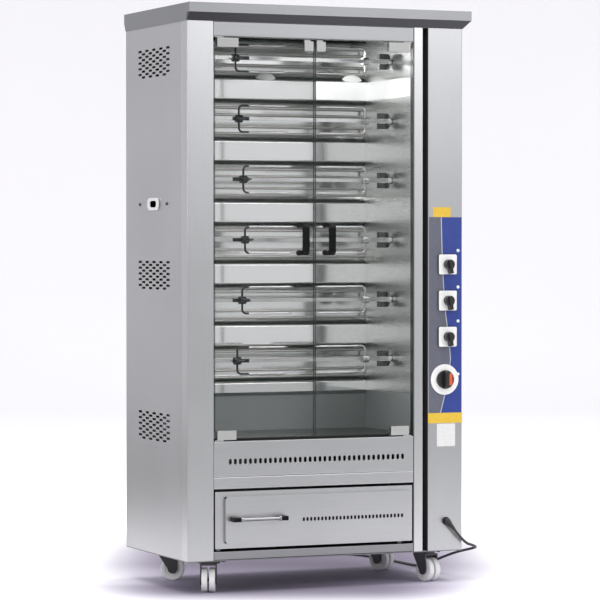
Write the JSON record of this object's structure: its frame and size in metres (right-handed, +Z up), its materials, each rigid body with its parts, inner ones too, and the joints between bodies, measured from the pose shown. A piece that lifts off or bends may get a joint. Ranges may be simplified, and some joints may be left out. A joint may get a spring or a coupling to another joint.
{
  "type": "chicken rotisserie oven",
  "caption": "Upright steel rotisserie oven on casters, with glass doors, motor-driven spits before heated troughs, a grease drawer and a control column",
  "frame": {"origin": "centre of the footprint on the floor, without the mains cord", "axes": "+Z up, +X along the cabinet's width towards the control column, -Y out of the doors"},
  "size_m": [1.0677, 1.1251, 1.911],
  "materials": {
    "cabinet_steel": "brushed, vertical grain",
    "drawer_steel": "brushed",
    "base_steel": "satin",
    "chamber_steel": "bright, polished",
    "element_metal": "heat stained",
    "bearing_metal": "machined",
    "pivot_metal": "polished",
    "runner_metal": "mill",
    "caster_metal": "black, satin",
    "wheel_plastic": "white, satin",
    "gland_plastic": "matte",
    "cord_rubber": "matte",
    "plug_plastic": "matte",
    "motor_metal": "cast",
    "chain_steel": "oiled",
    "shaft_steel": "machined",
    "spit_steel": "satin",
    "door_glass": "clear",
    "fitting_metal": "satin",
    "handle_plastic": "black",
    "drawer_handle_metal": "bar with black ends",
    "plate_plastic": "white",
    "knob_plastic": "black",
    "lamp_lens": "translucent"
  },
  "bodies": {
    "cabinet": {"base_pan": "base_steel", "cable_gland": "gland_plastic", "caster_plates": "caster_metal", "chamber_ceiling": "chamber_steel", "chamber_floor": "chamber_steel", "chamber_side_walls": "chamber_steel", "column_front": "cabinet_steel", "cord_coil": "cord_rubber", "dial_plates": "plate_plastic", "door_pivots": "pivot_metal", "drawer_runners": "runner_metal", "drive_chain": "chain_steel", "front_rails": "cabinet_steel", "gear_motor": "motor_metal", "heating_elements": "element_metal", "left_front_pillar": "cabinet_steel", "left_side_panel": "cabinet_steel", "lower_front_panel": "cabinet_steel", "mains_cord": "cord_rubber", "mains_plug": "plug_plastic", "pilot_lamps": "lamp_lens", "rear_panel": "cabinet_steel", "rear_reflectors": "chamber_steel", "right_front_pillar": "cabinet_steel", "right_side_panel": "cabinet_steel", "spit_bearings": "bearing_metal", "top_canopy": "cabinet_steel"},
    "left_door": {"left_door_glass": "door_glass", "left_door_fittings": "fitting_metal", "left_door_handle": "handle_plastic"},
    "right_door": {"right_door_glass": "door_glass", "right_door_fittings": "fitting_metal", "right_door_handle": "handle_plastic"},
    "drawer": {"drawer_tray": "drawer_steel", "drawer_handle": "drawer_handle_metal"},
    "switch_knob_1": {"switch_knob_1": "knob_plastic"},
    "switch_knob_2": {"switch_knob_2": "knob_plastic"},
    "switch_knob_3": {"switch_knob_3": "knob_plastic"},
    "thermostat_knob": {"thermostat_knob": "knob_plastic"},
    "motor_sprocket": {"motor_sprocket": "shaft_steel"},
    "spit_1": {"spit_1": "spit_steel", "drive_shaft_1": "shaft_steel"},
    "spit_2": {"spit_2": "spit_steel", "drive_shaft_2": "shaft_steel"},
    "spit_3": {"spit_3": "spit_steel", "drive_shaft_3": "shaft_steel"},
    "spit_4": {"spit_4": "spit_steel", "drive_shaft_4": "shaft_steel"},
    "spit_5": {"spit_5": "spit_steel", "drive_shaft_5": "shaft_steel"},
    "spit_6": {"spit_6": "spit_steel", "drive_shaft_6": "shaft_steel"},
    "caster_swivel_front_left": {"caster_swivel_front_left": "caster_metal"},
    "caster_wheels_front_left": {"caster_wheels_front_left": "wheel_plastic"},
    "caster_swivel_front_right": {"caster_swivel_front_right": "caster_metal"},
    "caster_wheels_front_right": {"caster_wheels_front_right": "wheel_plastic"},
    "caster_swivel_rear_left": {"caster_swivel_rear_left": "caster_metal"},
    "caster_wheels_rear_left": {"caster_wheels_rear_left": "wheel_plastic"},
    "caster_swivel_rear_right": {"caster_swivel_rear_right": "caster_metal"},
    "caster_wheels_rear_right": {"caster_wheels_rear_right": "wheel_plastic"}
  },
  "joints": [
    {"name": "left_door_swing", "type": "hinge", "parent": "cabinet", "child": "left_door", "pos_m": [-0.393, -0.251, 1.15], "axis": [0, 0, -1], "range_deg": [0, 110]},
    {"name": "right_door_swing", "type": "hinge", "parent": "cabinet", "child": "right_door", "pos_m": [0.283, -0.251, 1.15], "axis": [0, 0, 1], "range_deg": [0, 110]},
    {"name": "drawer_slide", "type": "slide", "parent": "cabinet", "child": "drawer", "axis": [0, -1, 0], "range_m": [0, 0.35]},
    {"name": "switch_1_turn", "type": "hinge", "parent": "cabinet", "child": "switch_knob_1", "pos_m": [0.4275, -0.2715, 1.066], "axis": [0, 1, 0], "range_deg": [0, 270]},
    {"name": "switch_2_turn", "type": "hinge", "parent": "cabinet", "child": "switch_knob_2", "pos_m": [0.4275, -0.2715, 0.945], "axis": [0, 1, 0], "range_deg": [0, 270]},
    {"name": "switch_3_turn", "type": "hinge", "parent": "cabinet", "child": "switch_knob_3", "pos_m": [0.4275, -0.2715, 0.824], "axis": [0, 1, 0], "range_deg": [0, 270]},
    {"name": "thermostat_turn", "type": "hinge", "parent": "cabinet", "child": "thermostat_knob", "pos_m": [0.419, -0.2655, 0.681], "axis": [0, 1, 0], "range_deg": [0, 300]},
    {"name": "spit_1_turn", "type": "hinge", "parent": "cabinet", "child": "spit_1", "pos_m": [0.325, -0.047, 1.751], "axis": [1, 0, 0], "continuous": true},
    {"name": "spit_2_turn", "type": "hinge", "parent": "cabinet", "child": "spit_2", "pos_m": [0.325, -0.047, 1.55], "axis": [1, 0, 0], "continuous": true},
    {"name": "spit_3_turn", "type": "hinge", "parent": "cabinet", "child": "spit_3", "pos_m": [0.325, -0.047, 1.349], "axis": [1, 0, 0], "continuous": true},
    {"name": "spit_4_turn", "type": "hinge", "parent": "cabinet", "child": "spit_4", "pos_m": [0.325, -0.047, 1.148], "axis": [1, 0, 0], "continuous": true},
    {"name": "spit_5_turn", "type": "hinge", "parent": "cabinet", "child": "spit_5", "pos_m": [0.325, -0.047, 0.947], "axis": [1, 0, 0], "continuous": true},
    {"name": "spit_6_turn", "type": "hinge", "parent": "cabinet", "child": "spit_6", "pos_m": [0.325, -0.047, 0.746], "axis": [1, 0, 0], "continuous": true},
    {"name": "motor_turn", "type": "hinge", "parent": "cabinet", "child": "motor_sprocket", "pos_m": [0.368, -0.047, 0.596], "axis": [1, 0, 0], "continuous": true},
    {"name": "front_left_swivel", "type": "hinge", "parent": "cabinet", "child": "caster_swivel_front_left", "pos_m": [-0.395, -0.172, 0.1], "axis": [0, 0, 1], "continuous": true},
    {"name": "front_left_roll", "type": "hinge", "parent": "caster_swivel_front_left", "child": "caster_wheels_front_left", "pos_m": [-0.40476, -0.19393, 0.04], "axis": [0.9135, -0.4067, 0], "continuous": true},
    {"name": "front_right_swivel", "type": "hinge", "parent": "cabinet", "child": "caster_swivel_front_right", "pos_m": [0.387, -0.172, 0.1], "axis": [0, 0, 1], "continuous": true},
    {"name": "front_right_roll", "type": "hinge", "parent": "caster_swivel_front_right", "child": "caster_wheels_front_right", "pos_m": [0.39199, -0.19548, 0.04], "axis": [0.9781, 0.2079, 0], "continuous": true},
    {"name": "rear_left_swivel", "type": "hinge", "parent": "cabinet", "child": "caster_swivel_rear_left", "pos_m": [-0.403, 0.196, 0.1], "axis": [0, 0, 1], "continuous": true},
    {"name": "rear_left_roll", "type": "hinge", "parent": "caster_swivel_rear_left", "child": "caster_wheels_rear_left", "pos_m": [-0.38107, 0.18624, 0.04], "axis": [0.4067, 0.9135, 0], "continuous": true},
    {"name": "rear_right_swivel", "type": "hinge", "parent": "cabinet", "child": "caster_swivel_rear_right", "pos_m": [0.383, 0.196, 0.1], "axis": [0, 0, 1], "continuous": true},
    {"name": "rear_right_roll", "type": "hinge", "parent": "caster_swivel_rear_right", "child": "caster_wheels_rear_right", "pos_m": [0.39314, 0.17425, 0.04], "axis": [0.9063, 0.4226, 0], "continuous": true}
  ],
  "couplings": [
    {"joint": "spit_2_turn", "follows": "spit_1_turn", "ratio": 1},
    {"joint": "spit_3_turn", "follows": "spit_1_turn", "ratio": 1},
    {"joint": "spit_4_turn", "follows": "spit_1_turn", "ratio": 1},
    {"joint": "spit_5_turn", "follows": "spit_1_turn", "ratio": 1},
    {"joint": "spit_6_turn", "follows": "spit_1_turn", "ratio": 1},
    {"joint": "motor_turn", "follows": "spit_1_turn", "ratio": 1}
  ]
}
